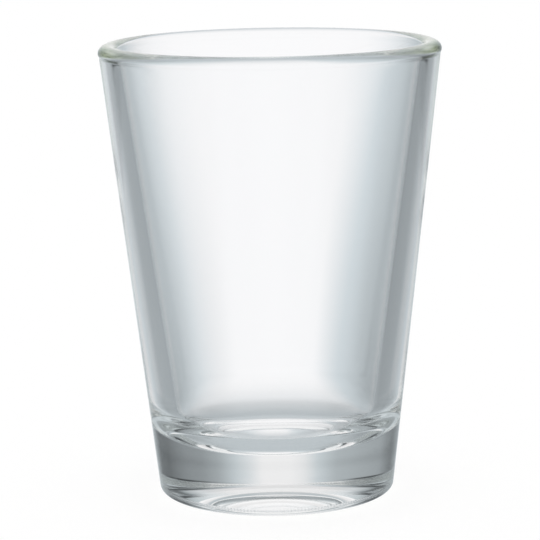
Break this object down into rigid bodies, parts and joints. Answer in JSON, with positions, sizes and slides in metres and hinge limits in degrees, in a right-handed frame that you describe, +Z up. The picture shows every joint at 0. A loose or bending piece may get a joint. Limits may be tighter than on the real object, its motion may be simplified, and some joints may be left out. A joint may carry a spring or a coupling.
{
  "type": "espresso shot glass",
  "caption": "Tapered espresso shot glass in clear glass, with a rounded lip, a thick solid base and a shallow hollow under the foot; stands on a flat ring and holds a small drink.",
  "frame": {"origin": "centre of the resting ring, on the surface that the glass stands on", "axes": "+Z up the axis of the glass, from the base to the lip; X and Y are free, because the glass is round"},
  "size_m": [0.06, 0.06, 0.08],
  "materials": {
    "clear_glass": "fire-polished, clear, with a faint green tint where the glass is thick"
  },
  "bodies": {
    "root": {"glass_body": "clear_glass"}
  },
  "joints": []
}
